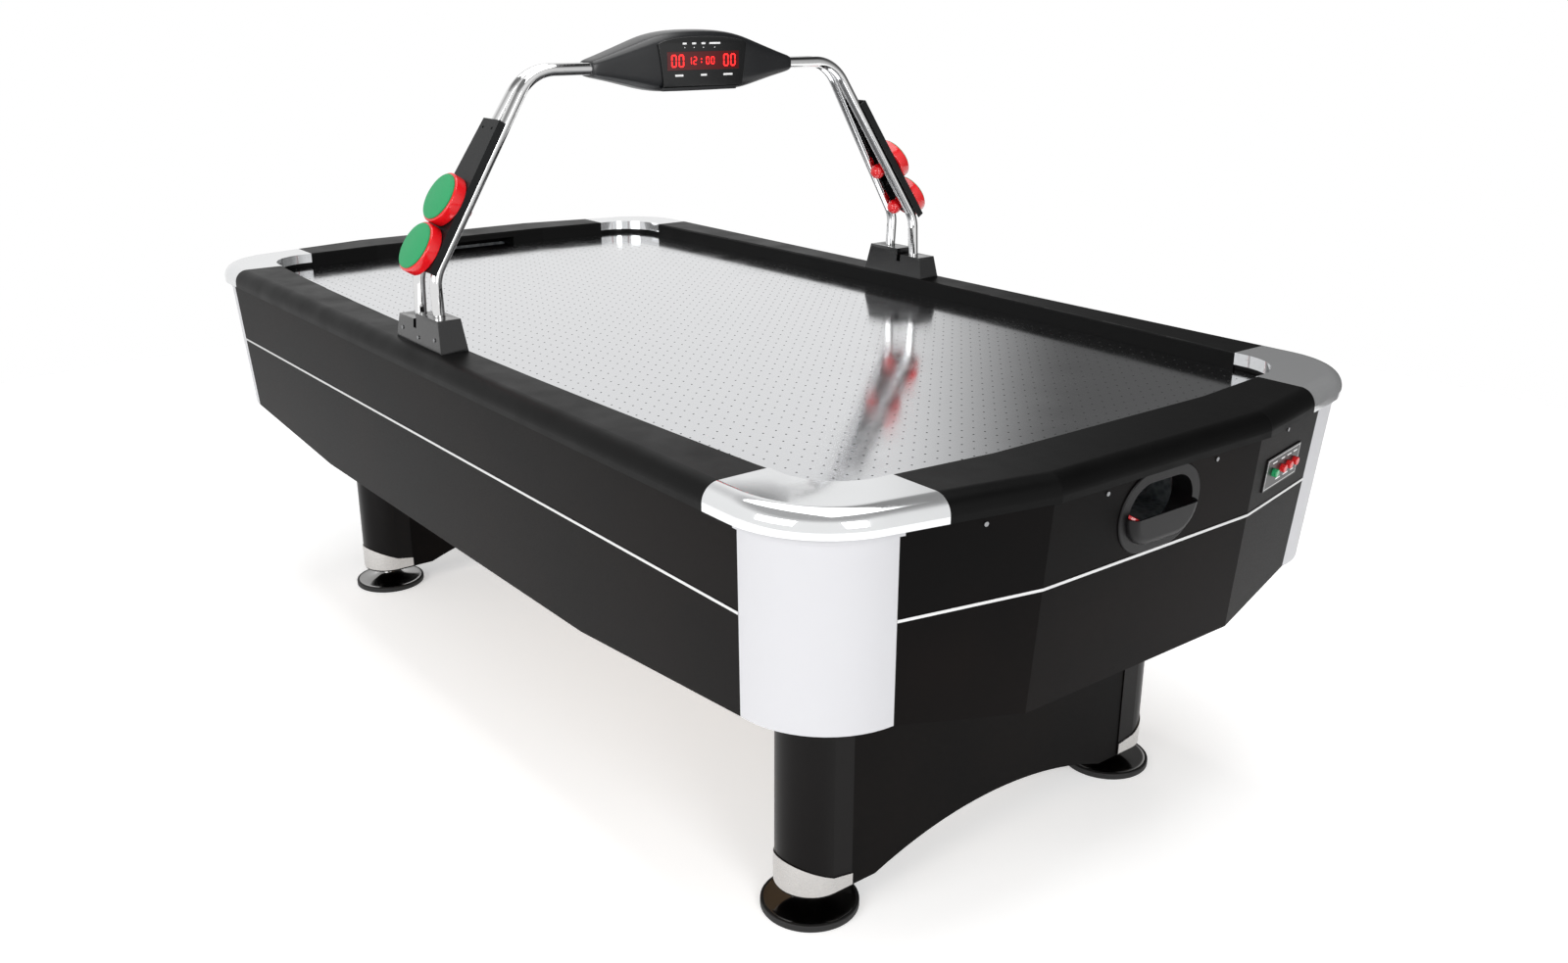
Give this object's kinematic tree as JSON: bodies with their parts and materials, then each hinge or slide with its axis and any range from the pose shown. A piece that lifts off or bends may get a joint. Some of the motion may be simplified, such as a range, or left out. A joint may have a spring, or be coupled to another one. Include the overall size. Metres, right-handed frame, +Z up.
{
  "type": "air_hockey_table",
  "caption": "Full-size air hockey table with chrome corners, twin pedestal legs, overhead scoring unit on bent tubes and mallet holders",
  "frame": {"origin": "On the floor under the middle of the table", "axes": "+X along the table towards the end with the control buttons, +Y across it towards the rear long side, +Z up"},
  "size_m": [2.44, 1.29, 1.369],
  "materials": {
    "black_laminate": "satin",
    "black_rail": "satin",
    "satin_silver": "satin",
    "chrome": "polished",
    "field_silver": "polished",
    "board": "matte",
    "galvanised": "satin",
    "black_moulding": "satin",
    "polished_dark": "polished",
    "green_plastic": "gloss",
    "red_plastic": "gloss",
    "green_felt": "matte",
    "black_shell": "satin",
    "dark_window": "polished",
    "circuit": "matte"
  },
  "bodies": {
    "table": {"air_chamber": "board", "blower_housing": "black_moulding", "blower_motor": "galvanised", "bottom_board": "board", "column_covers": "black_laminate", "control_end_panel": "black_laminate", "control_end_rail": "black_rail", "control_end_side_boards": "black_laminate", "control_pedestal": "black_laminate", "control_plate": "black_moulding", "control_pocket_cup": "black_moulding", "corner_blocks": "black_rail", "corner_cap_front_control": "chrome", "corner_cap_front_plain": "chrome", "corner_cap_rear_control": "chrome", "corner_cap_rear_plain": "chrome", "corner_panels": "satin_silver", "front_long_rail": "black_rail", "front_mallet_holder": "black_moulding", "front_post_base": "black_moulding", "front_post_tubes": "chrome", "front_side_panel": "black_laminate", "goal_chutes": "galvanised", "leg_bands": "satin_silver", "plain_end_panel": "black_laminate", "plain_end_rail": "black_rail", "plain_end_side_boards": "black_laminate", "plain_pedestal": "black_laminate", "plain_pocket_cup": "black_moulding", "playfield": "field_silver", "power_inlet": "black_moulding", "rear_long_rail": "black_rail", "rear_mallet_holder": "black_moulding", "rear_post_base": "black_moulding", "rear_post_tubes": "chrome", "rear_side_panel": "black_laminate", "scorer_board": "circuit", "scorer_end_caps": "black_shell", "scorer_shells": "black_shell", "scorer_windows": "dark_window", "screws": "chrome", "trim_strips": "satin_silver"},
    "front_mallet_low": {"mallet_front_low": "red_plastic", "mallet_felt_front_low": "green_felt"},
    "front_mallet_high": {"mallet_front_high": "red_plastic", "mallet_felt_front_high": "green_felt"},
    "rear_mallet_low": {"mallet_rear_low": "red_plastic", "mallet_felt_rear_low": "green_felt"},
    "rear_mallet_high": {"mallet_rear_high": "red_plastic", "mallet_felt_rear_high": "green_felt"},
    "foot_front_control": {"leveller_front_control": "polished_dark"},
    "foot_rear_control": {"leveller_rear_control": "polished_dark"},
    "foot_front_plain": {"leveller_front_plain": "polished_dark"},
    "foot_rear_plain": {"leveller_rear_plain": "polished_dark"},
    "impeller": {"blower_impeller": "black_moulding"},
    "power_button": {"button_power": "green_plastic"},
    "time_button": {"button_time": "red_plastic"},
    "points_button": {"button_points": "red_plastic"},
    "reset_button": {"button_reset": "red_plastic"},
    "loose_puck": {"puck": "red_plastic"}
  },
  "joints": [
    {"name": "lift_front_mallet_low", "type": "slide", "parent": "table", "child": "front_mallet_low", "axis": [0, -0.8383, 0.5452], "range_m": [0, 0.08]},
    {"name": "lift_front_mallet_high", "type": "slide", "parent": "table", "child": "front_mallet_high", "axis": [0, -0.8383, 0.5452], "range_m": [0, 0.08]},
    {"name": "lift_rear_mallet_low", "type": "slide", "parent": "table", "child": "rear_mallet_low", "axis": [0, 0.8383, 0.5452], "range_m": [0, 0.08]},
    {"name": "lift_rear_mallet_high", "type": "slide", "parent": "table", "child": "rear_mallet_high", "axis": [0, 0.8383, 0.5452], "range_m": [0, 0.08]},
    {"name": "level_front_control", "type": "slide", "parent": "table", "child": "foot_front_control", "axis": [0, 0, 1], "range_m": [-0.02, 0]},
    {"name": "level_rear_control", "type": "slide", "parent": "table", "child": "foot_rear_control", "axis": [0, 0, 1], "range_m": [-0.02, 0]},
    {"name": "level_front_plain", "type": "slide", "parent": "table", "child": "foot_front_plain", "axis": [0, 0, 1], "range_m": [-0.02, 0]},
    {"name": "level_rear_plain", "type": "slide", "parent": "table", "child": "foot_rear_plain", "axis": [0, 0, 1], "range_m": [-0.02, 0]},
    {"name": "impeller_spin", "type": "hinge", "parent": "table", "child": "impeller", "pos_m": [-0.3, 0, 0.62], "axis": [0, 0, 1], "continuous": true},
    {"name": "press_power", "type": "slide", "parent": "table", "child": "power_button", "axis": [0.9768, 0.1993, -0.0782], "range_m": [-0.003, 0], "stiffness_N_per_m": 600},
    {"name": "press_time", "type": "slide", "parent": "table", "child": "time_button", "axis": [0.9768, 0.1993, -0.0782], "range_m": [-0.003, 0], "stiffness_N_per_m": 600},
    {"name": "press_points", "type": "slide", "parent": "table", "child": "points_button", "axis": [0.9768, 0.1993, -0.0782], "range_m": [-0.003, 0], "stiffness_N_per_m": 600},
    {"name": "press_reset", "type": "slide", "parent": "table", "child": "reset_button", "axis": [0.9768, 0.1993, -0.0782], "range_m": [-0.003, 0], "stiffness_N_per_m": 600},
    {"name": "take_puck", "type": "slide", "parent": "table", "child": "loose_puck", "axis": [0, 0, 1], "range_m": [0, 0.018]}
  ]
}
